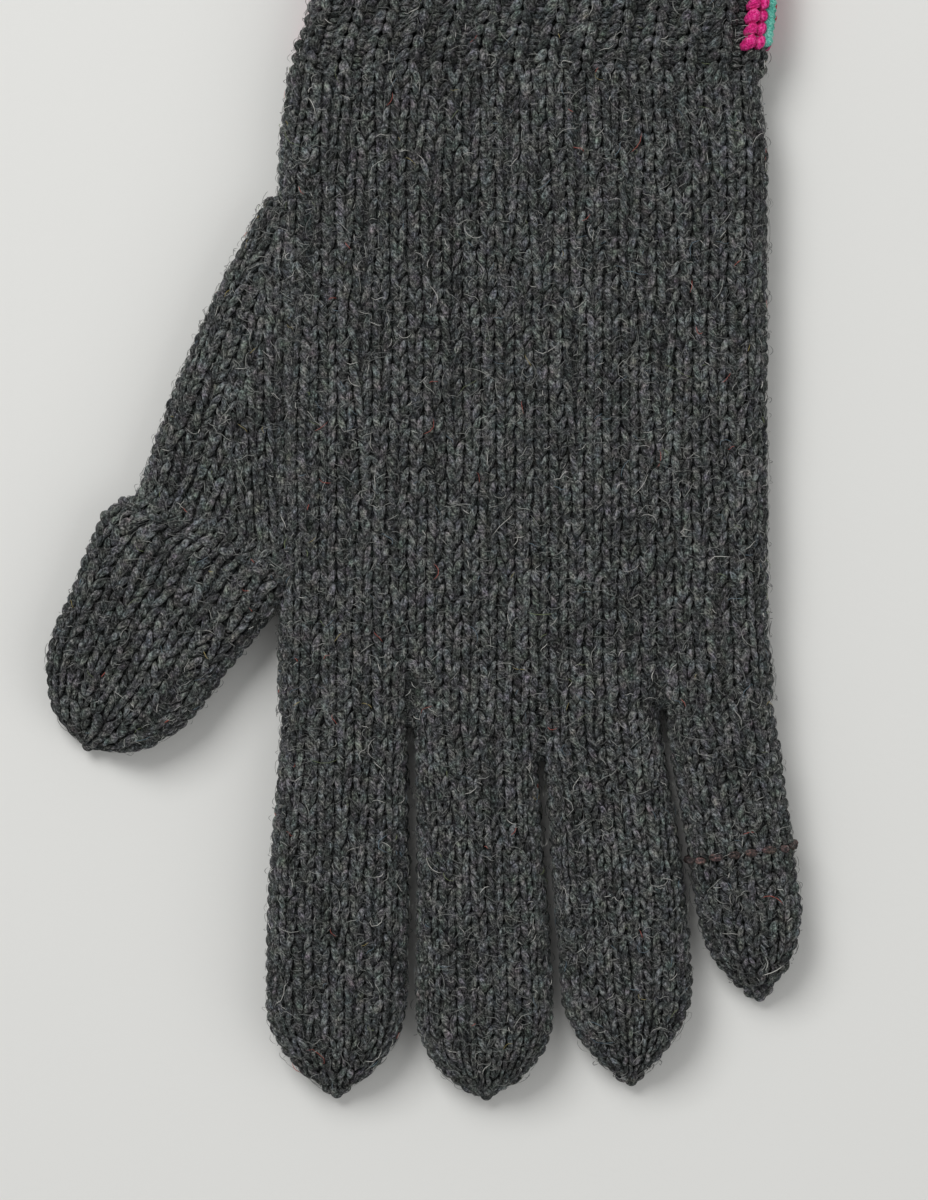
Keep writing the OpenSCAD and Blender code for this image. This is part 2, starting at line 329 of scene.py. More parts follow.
class Digit:
    """A finger or the thumb. Its hinge line's place and lean come from the frame.

    middle: how far its middle stands sideways of the hinge at the base, halfway and at the tip
    width: at the base and at full_at
    taper_at: where it starts to narrow to the tip, which is the blunter the smaller blunt is
    columns, course: stitches in a round and the height of a row
    step: how much the outer edge stands back where the first round starts
    sag: how far the lower half stands out past the upper half on each side, up to where it narrows
    """

    def __init__(
        self,
        name,
        hinges,
        middle,
        width,
        full_at,
        taper_at,
        blunt,
        length,
        columns,
        course,
        height=BODY_H,
        step=0.0,
        sag=0.6,
    ):
        first = JOINTS[hinges[0]]
        second = JOINTS[hinges[1]]
        self.name = name
        self.hinges = hinges
        self.base = plan_place(first)
        along = plan_place(second) - self.base
        self.along = along / np.linalg.norm(along)
        self.across = np.array([-self.along[1], self.along[0]])
        self.middle, self.widths, self.full_at = middle, width, full_at
        self.length, self.taper_at, self.blunt, self.step = length, taper_at, blunt, step
        self.columns, self.course, self.height, self.sag = columns, course, height, sag
        self.bends = [float(np.dot(plan_place(JOINTS[hinge]) - self.base, self.along)) for hinge in hinges]
        self.shift = 0.0

    def centre(self, s):
        """Sideways place of the middle: a smooth curve through base, fullest point and tip."""
        t = np.clip(s / self.length, -0.2, 1.05)
        m = 0.55
        b, f, e = self.middle
        curve = b * (1 - t) * (m - t) / m + f * t * (1 - t) / (m * (1 - m)) + e * t * (t - m) / (1 - m)
        return curve + self.set_back(s) / 2

    def set_back(self, s):
        return self.step * (1 - smooth((s + 1.5) / 7.0))

    def taper(self, s):
        """Share of the way through the narrowing tip, held just short of its very end."""
        return np.clip((s - self.taper_at) / (self.length - self.taper_at), 0, 0.9995)

    def width(self, s):
        full = self.widths[0] + (self.widths[1] - self.widths[0]) * smooth(s / self.full_at)
        return full * (1 - self.taper(s) ** 2) ** self.blunt - self.set_back(s)

    def depth(self, s):
        return self.height * (1 - self.taper(s) ** 2.6) ** 0.55

    def place(self, f, s):
        s = np.minimum(s, self.length - 0.01)
        width, depth = self.width(s), self.depth(s)
        side, up = flat_tube(f, width, np.minimum(depth, width))
        # The lower half sags outwards against its neighbours
        sag = self.sag * smooth(-2.2 * up / self.height) * smooth((s + 4) / 12) * (1 - smooth((s - 24) / 20))
        side = side + sag * np.tanh(side / 3) + self.centre(s)
        x = self.base[0] + self.along[0] * s + self.across[0] * side
        y = self.base[1] + self.along[1] * s + self.across[1] * side
        return lay(x, y, up, np.minimum(depth, width), lift=0.9 * self.taper(s) ** 2)

    def girth(self, s):
        width, depth = self.width(s), self.depth(s)
        return 2 * np.maximum(width - depth, 0) + math.pi * np.minimum(depth, width)

    def turn(self, column, s):
        """Columns stand at the hand's own spacing at the base, and evenly round the tube further on."""
        quarter = self.columns / 4
        way = np.mod(column, self.columns) / quarter
        half = np.floor(way / 2)
        r = way - 2 * half - 1
        spacing = yarn().wale * self.columns / self.girth(0 * s) - 1
        k = np.clip(spacing, -0.3, 0.6) * (1 - smooth(s / 16.0))
        u = r + k * np.sin(math.pi * r) / math.pi
        return (u + 1) / 4 + half / 2 + self.shift / self.girth(0 * s)

    def tube(self, first_row, keep):
        """Rows follow the surface, so they crowd together where the tip closes."""
        fine = np.linspace(first_row, self.length - 0.02, 4000)
        slope = np.gradient(self.width(fine) / 2, fine) * 0.75
        way = np.concatenate([[0], np.cumsum(np.sqrt(1 + slope[1:] ** 2) * np.diff(fine))])
        rows = np.interp(np.arange(0.5, way[-1] / self.course) * self.course, way, fine)
        reach = (first_row, self.length)
        tube = KnitTube(self.place, self.girth, self.columns, reach, rows, turn=self.turn, keep=keep)
        tube.end_gap = 0.45
        return tube


def four_fingers():
    """The fingers, by middle, width, full_at, taper_at, blunt, length, columns and course."""
    knuckles = ("_knuckle", "_middle_joint", "_tip_joint")
    table = [
        ("index", (0.35, -0.9, -1.3), (23.5, 26.1), 35, 50.5, 0.78, 68.2, 21, 2.34),
        ("middle", (-0.1, 0.7, 0.7), (22.7, 25.5), 54, 49.0, 0.66, 64.6, 22, 2.25),
        ("ring", (-0.4, 0.4, -0.5), (22.3, 24.4), 35, 45.5, 0.8, 64.2, 22, 2.12),
        ("little", (-0.2, 0.2, -0.1), (20.2, 19.1), 50, 38.0, 0.75, 54.3, 17, 2.14),
    ]
    digits = []
    for name, *sizes in table:
        digits.append(Digit(name, [name + k for k in knuckles], *sizes))
    for digit in digits:
        line_up(digit)
    return digits


def line_up(digit):
    """Turns a finger's columns so that its middle one carries on one of the hand's."""
    wale = yarn().wale
    top_middle = HAND_COLUMNS / 4
    x = digit.base[0] + digit.centre(0.0)
    hand_column = x / wale + top_middle - 0.5
    hand_x = (round(hand_column) + 0.5 - top_middle) * wale
    top_column = (digit.columns / 4 - 0.5) % 1.0
    digit.shift = hand_x - x + (top_column if top_column < 0.5 else top_column - 1) * wale


def thumb():
    hinges = ["thumb_bend", "thumb_tip_joint"]
    sizes = ((5.4, 3.7, 3.1), (37.6, 31.4), 26.7, 24.0, 0.52, 44.3, 22, 2.3)
    return Digit("thumb", hinges, *sizes, height=11.4, step=3.6, sag=0)


# ---------------------------------------------------------------- yarn


def spindle(around, rings):
    """A closed spindle: how far along it and at what angle each corner stands, and its faces."""
    bm = bmesh.new()
    bmesh.ops.create_uvsphere(bm, u_segments=around, v_segments=rings, radius=1.0)
    bm.verts.ensure_lookup_table()
    corners = np.array([v.co for v in bm.verts])
    faces = [[v.index for v in face.verts] for face in bm.faces]
    bm.free()
    share = np.arccos(np.clip(-corners[:, 2], -1, 1)) / math.pi
    angle = np.arctan2(corners[:, 1], corners[:, 0])
    return share, angle, faces


LEG = spindle(7, 6)
FIBRE = spindle(3, 5)


class Strands:
    """Gathers strands of yarn or fibre and makes them one mesh."""

    def __init__(self):
        self.points, self.faces, self.tone, self.along, self.around = [], [], [], [], []

    def add(self, form, points, tone, length, radius, offset):
        """points: strands × corners × 3, in mm; tone, length, radius and offset: one for each strand."""
        share, angle, faces = form
        count, corners = points.shape[:2]
        points = points.reshape(-1, 3)
        # What would hang below the table lies on it
        points[:, 2] = np.abs(points[:, 2])
        self.points.append(points)
        self.faces.append((faces, count, corners))
        self.tone.append(np.repeat(tone, corners))
        self.along.append((share[None] * length[:, None] + offset[:, None]).ravel())
        self.around.append((angle[None] * radius[:, None] + offset[:, None] * 0.7).ravel())

    def add_shell(self, points, faces):
        self.points.append(points)
        self.faces.append((faces, 1, len(points)))
        self.tone.append(np.zeros(len(points)))
        self.along.append(points[:, 1] * 1.0)
        self.around.append(points[:, 0] * 1.0)

    def mesh(self, name, material):
        """One object from all the strands, with how far along and round its yarn each corner stands."""
        loops, totals, base = [], [], 0
        for faces, count, size in self.faces:
            flat = np.concatenate([np.array(f) for f in faces])
            sizes = np.array([len(f) for f in faces])
            shifts = base + np.arange(count) * size
            loops.append((flat[None] + shifts[:, None]).ravel())
            totals.append(np.tile(sizes, count))
            base += count * size
        loops, totals = np.concatenate(loops), np.concatenate(totals)
        data = bpy.data.meshes.new(name)
        co = np.concatenate(self.points) * MM
        data.vertices.add(len(co))
        data.vertices.foreach_set("co", co.astype(np.float32).ravel())
        data.loops.add(len(loops))
        data.loops.foreach_set("vertex_index", loops.astype(np.int32))
        data.polygons.add(len(totals))
        starts = np.concatenate([[0], np.cumsum(totals)[:-1]])
        data.polygons.foreach_set("loop_start", starts.astype(np.int32))
        data.polygons.foreach_set("use_smooth", np.ones(len(totals), bool))
        data.update(calc_edges=True)
        for key, values in (("tone", self.tone), ("along", self.along), ("around", self.around)):
            attribute = data.attributes.new(key, "FLOAT", "POINT")
            attribute.data.foreach_set("value", np.concatenate(values).astype(np.float32))
        data.validate()
        face_outwards(data)
        piece = bpy.data.objects.new(name, data)
        bpy.context.scene.collection.objects.link(piece)
        data.materials.append(material)
        return piece


def face_outwards(data):
    bm = bmesh.new()
    bm.from_mesh(data)
    bmesh.ops.recalc_face_normals(bm, faces=bm.faces)
    bm.to_mesh(data)
    bm.free()


def plumpness(t):
    """Thickness of a leg of yarn along its length, as a share of its fullest; 0 at its two ends."""
    return np.sin(math.pi * np.clip(0.06 + 0.88 * t, 0, 1)) ** 0.55 * (np.abs(t - 0.5) < 0.499)


def lay_yarn(strands, tube, start, end, crest, radius, rng, bow=0.0):
    """Lays legs of yarn on a tube.

    start and end: arrays of (column, row distance, height)
    crest: how far the middle bows up
    bow: how far it bows sideways
    """
    share, angle, _ = LEG
    t = share[None]
    path = start[:, None] + (end - start)[:, None] * t[..., None]
    path[..., 2] += crest[:, None] * np.sin(math.pi * np.clip(t * 1.15, 0, 1))
    scale = tube.pitch(start[:, 1])
    run_x = (end[:, 0] - start[:, 0]) * scale
    run_y = end[:, 1] - start[:, 1]
    length = np.hypot(run_x, run_y)
    ahead_x, ahead_y = run_x / length, run_y / length
    fat = radius[:, None] * plumpness(t)
    out = fat * np.cos(angle)[None] + bow * np.sin(math.pi * t)
    path[..., 0] += out * ahead_y[:, None] / scale[:, None]
    path[..., 1] -= out * ahead_x[:, None]
    path[..., 2] += fat * np.sin(angle)[None]
    # Stitches stop just short of a closed tip, where the knot gathers them
    path[..., 1] = np.minimum(path[..., 1], tube.reach[1] - tube.end_gap)
    points = tube.at(path[..., 0], path[..., 1], path[..., 2])
    count = len(start)
    strands.add(LEG, points, rng.random(count), length, radius, rng.random(count) * 400)


# A leg of a stitch: how far it reaches back and on along the knit, as shares of a row, how far
# from the column's middle it stands at each end, as shares of a column, and how deep it lies there
LEG_BACK, LEG_ON = -0.74, 0.92
LEG_NEAR, LEG_FAR = 0.06, 0.45
LEG_DEPTH, LEG_DEPTH_ON = -1.15, -1.55
LEG_CREST = 0.5
LEG_R_MAX = 1.1
# Columns are knitted together where they would be narrower than this share of the full width
NARROWEST = 0.62


def stocking_stitches(strands, tube, low, high, rng, skip=None):
    """Both legs of every stitch from row distance low to high; they spread towards the fingertips."""
    full = tube.pitch(np.array([tube.reach[0] + 12.0]))[0]
    sway = rng.normal(0, 0.07, tube.columns)
    phase = rng.random(tube.columns) * 6
    for j, s in enumerate(tube.rows):
        if not low <= s < high:
            continue
        before = tube.rows[j - 1] if j else s - (tube.rows[1] - s)
        rise = s - before
        pitch = tube.pitch(np.array([s]))[0]
        # Where a tip narrows, columns are knitted together
        join = 1
        while pitch * join < NARROWEST * full and join < 8:
            join *= 2
        columns = np.arange(0, tube.columns - join / 2, join) + join / 2
        where = tube.at(columns, np.full(len(columns), s), np.zeros(len(columns)))
        columns = columns[tube.keep(where[:, 0], where[:, 1])]
        if skip is not None:
            columns = columns[~skip(columns, s)]
        n = len(columns)
        if not n:
            continue
        index = columns.astype(int) % tube.columns
        wander = sway[index] * 2 * np.sin(s / 11 + phase[index]) + rng.normal(0, 0.03, n)
        width = pitch * join
        for way in (-1, 1):
            jitter = rng.normal(0, 0.04, (n, 4))
            start = np.stack(
                [
                    columns + wander + way * join * (LEG_NEAR + jitter[:, 0]),
                    s + rise * (LEG_BACK + jitter[:, 1]),
                    LEG_DEPTH + 3 * jitter[:, 2],
                ],
                axis=1,
            )
            end = np.stack(
                [
                    columns + wander + way * join * (LEG_FAR + jitter[:, 3]),
                    s + rise * (LEG_ON + jitter[:, 1]),
                    LEG_DEPTH_ON + 2 * jitter[:, 2],
                ],
                axis=1,
            )
            radius = np.minimum(width / 4 * yarn().plump, LEG_R_MAX) * (1 + rng.normal(0, 0.08, n))
            crest = np.full(n, LEG_CREST)
            lay_yarn(strands, tube, start, end, crest, radius, rng, bow=way * 0.14 * width / 4)


def shell(strands, tube, low, high, inside=2.4, outside=1.55, closed_end=False, cut=None):
    """The felted ground behind the stitches: a tube wall with an inner and an outer face."""
    around = max(28, tube.columns) * (1 if cut is None else 3)
    steps = max(3, int((high - low) / 1.7))
    bm = bmesh.new()
    bmesh.ops.create_grid(bm, x_segments=around, y_segments=steps, size=0.5)
    bm.verts.ensure_lookup_table()
    grid = np.array([v.co for v in bm.verts]) + 0.5
    s = low + (high - low) * grid[:, 1]
    column = grid[:, 0] * tube.columns
    if cut is not None:
        flat = tube.at(column, s, np.zeros(len(s)))
        s = cut(flat, s)
    walls = []
    for depth in (outside, inside):
        sunk = np.full(len(s), -depth)
        if closed_end:
            sunk = sunk * np.clip((high - s) / 3.0 + 0.35, 0, 1)
        walls.append(tube.at(column, s, sunk))
    for v, point in zip(bm.verts, walls[0]):
        v.co = point
    doubled = bmesh.ops.duplicate(bm, geom=bm.verts[:] + bm.edges[:] + bm.faces[:])
    inner = [g for g in doubled["geom"] if isinstance(g, bmesh.types.BMVert)]
    for v, point in zip(inner, walls[1]):
        v.co = point
    bmesh.ops.reverse_faces(bm, faces=[g for g in doubled["geom"] if isinstance(g, bmesh.types.BMFace)])
    bmesh.ops.remove_doubles(bm, verts=bm.verts[:], dist=0.02)
    rims = [e for e in bm.edges if e.is_boundary]
    if rims:
        bmesh.ops.bridge_loops(bm, edges=rims) if closed_end else bridge_each_end(bm, rims)
    bm.verts.index_update()
    points = np.array([v.co for v in bm.verts])
    faces = [[v.index for v in face.verts] for face in bm.faces]
    bm.free()
    strands.add_shell(points, faces)


def bridge_each_end(bm, rims):
    """Joins the inner and outer wall at both ends of a tube, nearest rims together."""
    loops = []
    left = set(rims)
    while left:
        stack, loop = [left.pop()], []
        while stack:
            edge = stack.pop()
            loop.append(edge)
            for v in edge.verts:
                for other in v.link_edges:
                    if other in left:
                        left.remove(other)
                        stack.append(other)
        loops.append(loop)
    middle = [np.mean([np.array(v.co) for e in loop for v in e.verts], axis=0) for loop in loops]
    while len(loops) > 1:
        first = middle.pop(0)
        loop = loops.pop(0)
        nearest = int(np.argmin([np.linalg.norm(m - first) for m in middle]))
        bmesh.ops.bridge_loops(bm, edges=loop + loops.pop(nearest))
        middle.pop(nearest)


# Radius of the finest loose fibre, and the most that it stands up from the knit
FIBRE_R = 0.035
FIBRE_STAND = 0.9
# Height of the band at half the glove's height that counts as a tube's side
SIDE_BAND = 7.6
# Yarn and fibre start at different places in the wool's pattern, up to this far apart
PATTERN_RUN = 300


def loose_fibres(strands, tube, low, high, rng, side_loss=0.0):
    """Fine crimped fibres that lie on the knit and stand a little off its edges.

    side_loss: share of them rubbed off the tube's sides, as between two fingers.
    """
    area = tube.girth(np.array([(low + high) / 2]))[0] * (high - low) / 100
    count = int(area * yarn().fibres)
    share, angle, _ = FIBRE
    t = share[None]
    column = rng.random(count) * tube.columns
    s = low + rng.random(count) * (high - low)
    where = tube.at(column, s, np.zeros(count))
    at_side = np.abs(where[:, 2] - BODY_H / 2) < SIDE_BAND / 2
    good = tube.keep(where[:, 0], where[:, 1]) & (rng.random(count) > side_loss * at_side)
    column, s = column[good], s[good]
    count = len(s)
    heading = rng.random(count) * 2 * math.pi
    # Most are 1 to 3 mm long and a few are much longer
    length = 0.9 + 2.0 * rng.random(count) + 5.0 * rng.random(count) ** 9
    curl = rng.normal(0, 0.45, count) * length
    crimp = rng.normal(0, 0.35, count)

    def turned(t):
        """The fibre's heading at shares t of its length."""
        first = heading[:, None]
        return first + curl[:, None] * (t - 0.5) + crimp[:, None] * np.sin(t * 9 + first)

    turn = turned(t)
    scale = tube.pitch(s)
    # The heading is integrated along the fibre with a fine step, then read at each corner
    fine = np.linspace(0, 1, 33)
    fine_turn = turned(fine)
    run_x = np.cumsum(np.cos(fine_turn), axis=1) / len(fine)
    run_y = np.cumsum(np.sin(fine_turn), axis=1) / len(fine)
    rank = np.clip((share * (len(fine) - 1)).astype(int), 0, len(fine) - 1)
    dx, dy = run_x[:, rank] * length[:, None], run_y[:, rank] * length[:, None]
    radius = FIBRE_R + FIBRE_R * rng.random(count)
    fat = radius[:, None] * np.sin(math.pi * np.clip(t, 0.0, 1.0)) ** 0.3
    out = fat * np.cos(angle)[None]
    dx = dx - out * np.sin(turn)
    dy = dy + out * np.cos(turn)
    stand = rng.random(count) ** 3 * FIBRE_STAND
    arch = stand[:, None] * np.sin(math.pi * np.clip(t * 0.9 + 0.05, 0, 1))
    lift = -0.45 + 0.35 * rng.random((count, 1)) + arch + fat * np.sin(angle)[None]
    path_s = np.clip(s[:, None] + dy, tube.reach[0] - 1, tube.reach[1] - 0.05)
    points = tube.at(column[:, None] + dx / scale[:, None], path_s, lift)
    kind = rng.random(count)
    strands.add(FIBRE, points, kind, length, radius, rng.random(count) * PATTERN_RUN)


# ---------------------------------------------------------------- materials


def add_node(tree, kind, settings=(), **links):
    """Adds a node.

    settings: (property or input, value) pairs
    links: the sources of inputs, by name or as i and the input's number
    """
    node = tree.nodes.new(kind)
    for key, value in settings:
        if hasattr(node, str(key)):
            setattr(node, key, value)
        else:
            node.inputs[key].default_value = value
    for name, source in links.items():
        number = name[1:]
        key = int(number) if number.isdigit() else name.replace("_", " ")
        tree.links.new(source, node.inputs[key])
    return node


def new_material(name):
    material = bpy.data.materials.new(name)
    material.use_nodes = True
    tree = material.node_tree
    tree.nodes.clear()
    return material, tree


def attribute(tree, name):
    return add_node(tree, "ShaderNodeAttribute", [("attribute_name", name)]).outputs["Fac"]


def object_place(tree):
    return add_node(tree, "ShaderNodeTexCoord").outputs["Object"]


def calculate(tree, operation, number=None, **links):
    """A Math node's result; number is its second value where no link gives it."""
    settings = [("operation", operation)]
    if number is not None:
        settings.append((1, number))
    return add_node(tree, "ShaderNodeMath", settings, **links).outputs[0]


def spread(tree, value, low, high, to_low=0.0, to_high=1.0):
    """The value stretched from one range to another."""
    settings = [("From Min", low), ("From Max", high), ("To Min", to_low), ("To Max", to_high)]
    return add_node(tree, "ShaderNodeMapRange", settings, Value=value).outputs[0]


def bumps(tree, height, strength, distance):
    settings = [("Strength", strength), ("Distance", distance)]
    return add_node(tree, "ShaderNodeBump", settings, Height=height).outputs[0]


# Inputs of the Mix node when it mixes colours
MIX_A, MIX_B, MIX_RESULT = 6, 7, 2


def wool(name, deep, body, light, fleck=0.5, steel=0.0):
    """Woollen-spun yarn: short fibres streaming round a strand, with paler ones curling over the top.

    The streaks and curls are 0.2 to 0.5 mm wide, so that they still show at arm's length. The rough
    shader with a little sheen gives wool's dull, soft-edged look.
    fleck: how much the heather's colours and curls show
    steel: share of metal fibre in the yarn
    """
    material, tree = new_material(name)
    along = attribute(tree, "along")
    around = attribute(tree, "around")
    tone = attribute(tree, "tone")
    place = object_place(tree)
    # The yarn's twist: fibres run some 25 degrees off the strand
    twist = calculate(tree, "MULTIPLY_ADD", 0.45, i0=along, i2=around)
    strand = add_node(tree, "ShaderNodeCombineXYZ", i0=along, i1=twist, i2=tone).outputs[0]
    settings = [("operation", "MULTIPLY"), (1, (0.7, 2.6, 5.0))]
    stretched = add_node(tree, "ShaderNodeVectorMath", settings, i0=strand)
    streak = noise(tree, stretched.outputs[0], 1.0, 3.0, 0.7)
    fuzz = noise(tree, place, 2100.0, 2.0, 0.7)
    mottle = noise(tree, place, 160.0, 2.0, 0.5)
    value = weighted(tree, [(streak, 1.0), (fuzz, 1.1), (tone, 0.16), (mottle, 0.2)])
    ramp = add_node(tree, "ShaderNodeValToRGB", i0=spread(tree, value, 0.9, 1.56))
    stops = ramp.color_ramp.elements
    stops[0].position, stops[0].color = 0.2, deep
    stops[1].position, stops[1].color = 1.0, light
    stops.new(0.55).color = body
    # Heather: the fibres' own colours drift between blue, green and brown greys
    hue = add_node(tree, "ShaderNodeTexNoise", [("Scale", 420.0), ("Detail", 2.0)], i0=place).outputs["Color"]
    settings = [("data_type", "RGBA"), ("blend_type", "OVERLAY"), ("Factor", 0.5 * fleck)]
    drift = add_node(tree, "ShaderNodeMix", settings)
    tree.links.new(ramp.outputs["Color"], drift.inputs[MIX_A])
    tree.links.new(hue, drift.inputs[MIX_B])
    colour = drift.outputs[MIX_RESULT]
    # Curled pale fibres: the level lines of two smooth noises, broken into short pieces
    pale = [linear("#a9aaa5"), linear("#8b8d8a")]
    for number, (scale, level) in enumerate([(520.0, 0.5), (760.0, 0.47)]):
        line = curl_lines(tree, place, scale, level, 0.75 * fleck + 0.1)
        settings = [("data_type", "RGBA"), (MIX_B, pale[number] if fleck else light)]
        join = add_node(tree, "ShaderNodeMix", settings)
        tree.links.new(line, join.inputs["Factor"])
        tree.links.new(colour, join.inputs[MIX_A])
        colour = join.outputs[MIX_RESULT]
        value = weighted(tree, [(value, 1.0), (line, 0.5)])
    shader = add_node(
        tree,
        "ShaderNodeBsdfPrincipled",
        [
            ("Roughness", 0.9),
            ("IOR", 1.53),
            ("Metallic", steel),
            ("Specular IOR Level", 0.25),
            ("Sheen Weight", 0.15),
            ("Sheen Roughness", 0.5),
            ("Sheen Tint", light),
        ],
        Base_Color=colour,
        Normal=bumps(tree, value, 1.0, 0.00045),
    )
    add_node(tree, "ShaderNodeOutputMaterial", Surface=shader.outputs[0])
    return material


def noise(tree, place, scale, detail, roughness):
    settings = [("Scale", scale), ("Detail", detail), ("Roughness", roughness)]
    return add_node(tree, "ShaderNodeTexNoise", settings, i0=place).outputs["Fac"]


def weighted(tree, parts):
    """The sum of some values, each times its weight."""
    first, first_weight = parts[0]
    total = calculate(tree, "MULTIPLY", first_weight, i0=first)
    for value, weight in parts[1:]:
        total = calculate(tree, "MULTIPLY_ADD", weight, i0=value, i2=total)
    return total


def curl_lines(tree, place, scale, level, strength):
    """1 on thin curly lines, 0 elsewhere."""
    field = noise(tree, place, scale, 0.6, 0.5)
    off = calculate(tree, "ABSOLUTE", i0=calculate(tree, "SUBTRACT", level, i0=field))
    line = spread(tree, off, 0.006, 0.022, strength, 0.0)
    pieces = spread(tree, noise(tree, place, scale * 0.9 + 77.0, 0.0, 0.5), 0.48, 0.56)
    return calculate(tree, "MULTIPLY", i0=line, i1=pieces)


RED_TONE = 0.991


def fibre_material(name):
    """Loose wool fibres, from dark to pale grey, with a few white and dyed ones.

    Each fibre has one flat colour and a soft gloss, which makes it stand out from the yarn.
    """
    material, tree = new_material(name)
    ramp = add_node(tree, "ShaderNodeValToRGB", i0=attribute(tree, "tone"))
    ramp.color_ramp.interpolation = "CONSTANT"
    shades = [
        (0.0, "#3a3c3b"),
        (0.34, "#565856"),
        (0.62, "#787a77"),
        (0.84, "#a0a19c"),
        (0.94, "#cfcec8"),
        (0.97, "#5b7280"),
        (0.984, "#6d7a4c"),
        (RED_TONE, "#b8503f"),
        (0.994, "#9a8a4a"),
    ]
    stops = ramp.color_ramp.elements
    stops[0].color = linear(shades[0][1])
    stops[1].position, stops[1].color = shades[-1][0], linear(shades[-1][1])
    for position, colour in shades[1:-1]:
        stops.new(position).color = linear(colour)
    shader = add_node(
        tree,
        "ShaderNodeBsdfPrincipled",
        [("Roughness", 0.7), ("IOR", 1.53), ("Sheen Weight", 0.2), ("Sheen Roughness", 0.4)],
        Base_Color=ramp.outputs["Color"],
    )
    add_node(tree, "ShaderNodeOutputMaterial", Surface=shader.outputs[0])
    return material


def yarn_of(kind):
    """The material of a yarn, made once. Its name differs from the finish slots of the frame."""
    name = "spun_" + kind
    made = bpy.data.materials.get(name)
    if made:
        return made
    c = colours()
    grey = (c.shade, c.charcoal, c.heather)
    if kind == "charcoal":
        return wool(name, *grey)
    if kind == "conductive":
        return wool(name, *grey, steel=0.06)
    if kind == "joined":
        return wool(name, linear("#171313"), linear("#474241"), linear("#8f716b"))
    if kind == "pink":
        return wool(name, linear("#b8145f"), c.pink, linear("#ff7cbc"), fleck=0.0)
    if kind == "teal":
        return wool(name, linear("#3f9c8b"), c.teal, linear("#b4eee0"), fleck=0.0)
    if kind == "red":
        return wool(name, linear("#93202c"), c.red, linear("#ee8a8c"), fleck=0.0)
    if kind == "fibre":
        return fibre_material(name)
    raise RuntimeError(f"no yarn is called {kind}")


# ---------------------------------------------------------------- pieces

SEED_STEP = 101


def draws(number):
    return np.random.default_rng(yarn().seed + SEED_STEP * number)


def bend_points(joint, before, after):
    """Two points either side of a hinge, across it, for fabric that bends there."""
    pos = np.array(joint["pos_m"])
    axis = np.array(joint["axis"], float)
    away = np.cross(np.array([0, 0, 1.0]), axis)
    away /= np.linalg.norm(away)
    return tuple(pos - away * before * MM), tuple(pos + away * after * MM)


def finish_piece(piece, nodes=(), body=None, joint=None, zone=(0.0, 0.0)):
    """Hides the frame solids that the piece stands for, and sets what holds it.

    It rides on a body. Given a joint instead, it works out two points either side of the hinge line, over a
    zone before and after it, which nothing uses, and bakes the piece's place into its mesh.
    """
    if nodes:
        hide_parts(*nodes)
    if joint is None:
        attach(piece, body)
        return
    hinge = JOINTS[joint]
    start, end = bend_points(hinge, *zone)
    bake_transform(piece)


# Pieces that the hand's stitches and fibres are shared among
HAND_PARTS = 3
# How far the hand's ground runs on past the crotch line
FURROW_CUT = 1.5


def hand_cut(points, s):
    """Stretches the hand's ground so that it ends along the crotch line."""
    end = WRIST[1] - crotch_line(points[:, 0]) + FURROW_CUT
    full = WRIST[1] - min(c[1] for c in CROTCHES) + FURROW_CUT
    still = 0.6 * full
    return np.where(s > still, still + (s - still) * (end - still) / (full - still), s)


class GLOVE_OT_hand(bpy.types.Operator):
    """Knit the hand, from the wrist line to the crotches between the fingers"""

    bl_idname = "glove.hand"
    bl_label = "Hand"

    def execute(self, context):
        tube = hand_tube()
        length = tube.reach[1]
        ground = Strands()
        shell(ground, tube, 0.0, length + FURROW_CUT, cut=hand_cut)
        piece = ground.mesh("hand_ground", yarn_of("charcoal"))
        finish_piece(piece, ["hand"], body="hand")
        edges = np.linspace(0, length + 1, HAND_PARTS + 1)
        for i in range(HAND_PARTS):
            rng = draws(1 + i)
            stitches = Strands()
            stocking_stitches(stitches, tube, edges[i], edges[i + 1], rng)
            piece = stitches.mesh(f"hand_stitches_{i + 1}", yarn_of("charcoal"))
            finish_piece(piece, body="hand")
            fuzz = Strands()
            loose_fibres(fuzz, tube, edges[i], min(edges[i + 1], length), rng)
            if i == HAND_PARTS - 1:
                red_scrap(fuzz, rng)
            piece = fuzz.mesh(f"hand_fibres_{i + 1}", yarn_of("fibre"))
            finish_piece(piece, body="hand")
        return {"FINISHED"}


def red_scrap(strands, rng):
    """A few red fibres caught in the knit beside the thumb."""
    count = 7
    radius = 0.09
    middle = np.array([-42.6, -24.0, 10.6])
    heading = rng.random(count) * math.pi
    run = np.stack([np.cos(heading), 1.4 * np.sin(heading), 0.1 * heading], axis=1)
    run = run * (0.8 + rng.random((count, 1)))
    share, angle, _ = FIBRE
    t = share[None, :, None]
    bow = rng.normal(0, 0.5, (count, 1, 3)) * np.sin(math.pi * t)
    points = middle - run[:, None] + 2 * run[:, None] * t + bow + rng.normal(0, 0.4, (count, 1, 3))
    ring = np.stack([np.cos(angle), 0 * angle, np.sin(angle)], axis=-1)[None]
    ring = ring * np.sin(math.pi * t) ** 0.3 * radius
    tone = np.full(count, RED_TONE + 0.001)
    strands.add(FIBRE, points + ring, tone, np.full(count, 2.0), np.full(count, radius), heading)


class GLOVE_OT_fingers(bpy.types.Operator):
    """Knit the four fingers, each in three stretches, one for each of its hinges"""

    bl_idname = "glove.fingers"
    bl_label = "Fingers"

    def execute(self, context):
        for number, digit in enumerate(four_fingers()):
            first_row = finger_first_row(digit)
            tube = digit.tube(first_row, keep=on_fingers)
            knit_digit(digit, tube, first_row, 20 + 10 * number)
        return {"FINISHED"}


def finger_first_row(digit):
    """The finger's rows carry on the hand's: the distance of the row just before the crotches."""
    course = yarn().course
    top = max(c[1] for c in CROTCHES)
    row = math.floor((WRIST[1] - top) / course) * course
    return (WRIST[1] - row - digit.base[1]) / digit.along[1]
